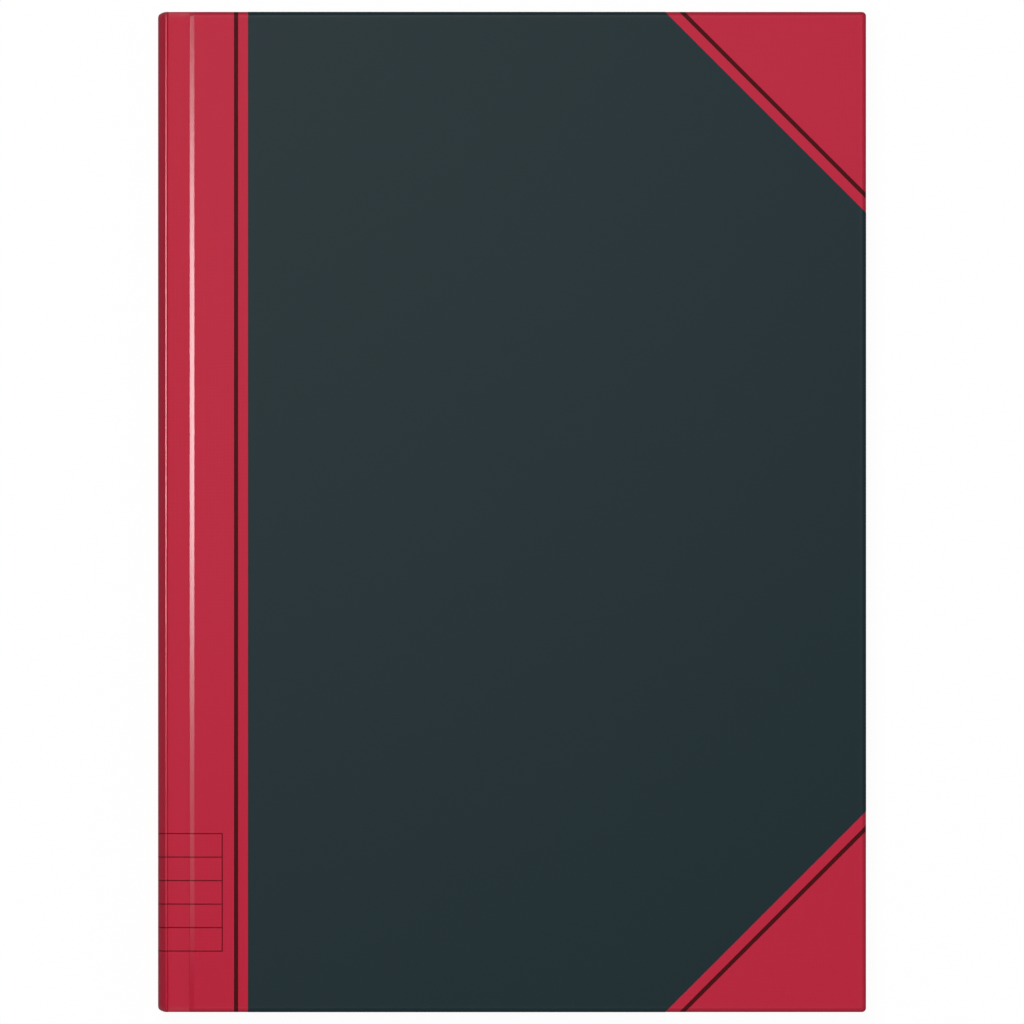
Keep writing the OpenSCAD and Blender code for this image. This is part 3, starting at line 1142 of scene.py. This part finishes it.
for i in range(1, SECTIONS + 1):
    name = f"section_{i:02d}"
    low, high = node_box(name)
    make_leaves(i, name, low, high)
    give_material(f"{name}_thread", thread_look)
    make_lining(i, name, low, high)

# The gauze's flanges on the boards, and the endpapers
FLANGE_U0 = 5.0
FLANGE_U1 = along_u(mull_high.x)
FLANGE_T = 0.1
FLANGE_GAP = 0.01
FLANGE_STEPS = 12


def make_flange(side, place, body):
    """The gauze that is glued to one board, under the pastedown."""
    depth = board_high.z + FLANGE_GAP
    ends = (mull_low.y, mull_high.y)
    width = FLANGE_U1 - FLANGE_U0
    u_values = [FLANGE_U0 + width * i / FLANGE_STEPS for i in range(FLANGE_STEPS + 1)]
    rows = [[(u, y, depth) for y in ends] for u in u_values]
    uvs = [[(u, y) for y in ends] for u in u_values]
    bm = grid_mesh(rows, uvs, [0] * FLANGE_STEPS)
    flange = thicken(to_object(f"{side}_mull_flange", bm, place, [gauze_look]), FLANGE_T)
    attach(flange, body)
    fit(flange, "mull", "mull")


for side, place, body in COVERS:
    make_flange(side, place, body)
    for leaf in ("pastedown", "flyleaf"):
        give_material(f"{side}_{leaf}", endpaper_look)

# Camera: straight on, from so far that the sides don't show
IMAGE_PX = 1024
BOOK_PX = 1000.5
LENS = 1200.0
SENSOR = 36.0
CLIP_END = 50.0


def make_camera():
    data = bpy.data.cameras.new("camera")
    camera = bpy.data.objects.new("camera", data)
    bpy.context.scene.collection.objects.link(camera)
    data.lens = LENS
    data.sensor_width = SENSOR
    data.clip_end = CLIP_END
    view_width = 2 * HALF_H * IMAGE_PX / BOOK_PX * MM
    camera.location = (0, 0, cad_high.z + view_width * LENS / SENSOR)
    bpy.context.scene.camera = camera


# Light, floor and background, in metres
CENTRE = (0, 0, 0)
KEY_PLACE = (-0.19, 0.27, 1.5)
KEY_SIZE = 0.6
KEY_WATTS = 16.6
# Soft boxes round the book, tilted so that its flat faces mirror none of them
BOX_OUT = 0.75
BOX_UP = 0.75
BOX_SIZE = 0.5
BOXES = (("right", 1, 0, 0.5), ("head", 0, 1, 0.2), ("tail", 0, -1, 0.8))
# The strip only shows in the burnished cloth, as two bright lines
STRIP_PLACE = (-0.655, 0.052, 0.472)
STRIP_AIM = (-0.1, 0.052, 0.013)
STRIP_SIZE = 0.2
STRIP_WATTS = 3.9
# Low fill lamps for the paper alone, which the covers shade
FILL_OUT = 1.2
FILL_UP = 0.16
FILL_SIZE = 0.5
FILL_WATTS = 5.0
FILLS = (("right", 1, 0), ("head", 0, 1), ("tail", 0, -1), ("left", -1, 0))
WORLD_LEVEL = 0.18
WHITE = (1, 1, 1, 1)
FLOOR_COLOUR = (0.25, 0.25, 0.25, 1)
FLOOR_SIZE = 12.0
FLOOR_DROP = 0.0002
SHADOW_SHARE = 0.15
# Makes the lit floor just white, with the share that shows its shadow
FLOOR_GLOW = (1 - SHADOW_SHARE * FLOOR_COLOUR[0]) / (1 - SHADOW_SHARE)


def lamp(name, place, aim, size, watts):
    """A square lamp that faces a point."""
    data = bpy.data.lights.new(name, "AREA")
    data.energy = watts
    data.size = size
    obj = bpy.data.objects.new(name, data)
    bpy.context.scene.collection.objects.link(obj)
    obj.location = place
    obj.rotation_mode = "QUATERNION"
    obj.rotation_quaternion = (Vector(aim) - Vector(place)).to_track_quat("-Z", "Y")
    return obj


def make_lamps():
    for name, x, y, watts in BOXES:
        lamp(f"box_{name}", (x * BOX_OUT, y * BOX_OUT, BOX_UP), CENTRE, BOX_SIZE, watts)
    lamp("key", KEY_PLACE, CENTRE, KEY_SIZE, KEY_WATTS)
    lamp("strip", STRIP_PLACE, STRIP_AIM, STRIP_SIZE, STRIP_WATTS).visible_diffuse = False


def make_fills():
    """Lamps that reach the leaves and the endpapers alone."""
    paper_pieces = bpy.data.collections.new("paper_pieces")
    for piece in bpy.context.scene.objects:
        if piece.name.startswith("leaves_") or piece.name.endswith(("_pastedown", "_flyleaf")):
            paper_pieces.objects.link(piece)
    for name, x, y in FILLS:
        fill = lamp(f"fill_{name}", (x * FILL_OUT, y * FILL_OUT, FILL_UP), CENTRE, FILL_SIZE, FILL_WATTS)
        fill.light_linking.receiver_collection = paper_pieces


def seen_directly(node):
    """1 for rays from the camera, and for those seen in or through a surface."""
    path = node("ShaderNodeLightPath").outputs
    seen = calc(node, "MAXIMUM", path["Is Camera Ray"], path["Is Glossy Ray"])
    return calc(node, "MAXIMUM", seen, path["Is Transmission Ray"])


def make_world():
    """A white background that lights the book only a little."""
    world = bpy.data.worlds.new("studio")
    bpy.context.scene.world = world
    world.use_nodes = True
    node = node_maker(world.node_tree)
    level = remap(node, seen_directly(node), WORLD_LEVEL, 1.0)
    connect(world.node_tree.nodes["Background"], {"Color": WHITE, "Strength": level})


def make_floor():
    """A white floor that keeps a faint shadow."""
    bpy.ops.mesh.primitive_plane_add(size=FLOOR_SIZE, location=(0, 0, -FLOOR_DROP))
    floor = bpy.context.active_object
    floor.name = "floor"
    m, shader, node = material("floor")
    connect(shader, {"Base Color": FLOOR_COLOUR, **FLOOR_FINISH})
    glow = node("ShaderNodeEmission", {"Color": WHITE, "Strength": FLOOR_GLOW})
    share = calc(node, "MULTIPLY", seen_directly(node), 1 - SHADOW_SHARE)
    mix = node("ShaderNodeMixShader", {0: share, 1: shader.outputs[0], 2: glow.outputs[0]})
    connect(m.node_tree.nodes["Material Output"], {"Surface": mix.outputs[0]})
    floor.data.materials.append(m)


make_camera()
make_lamps()
make_fills()
make_world()
make_floor()
bpy.context.scene.view_settings.view_transform = "Standard"
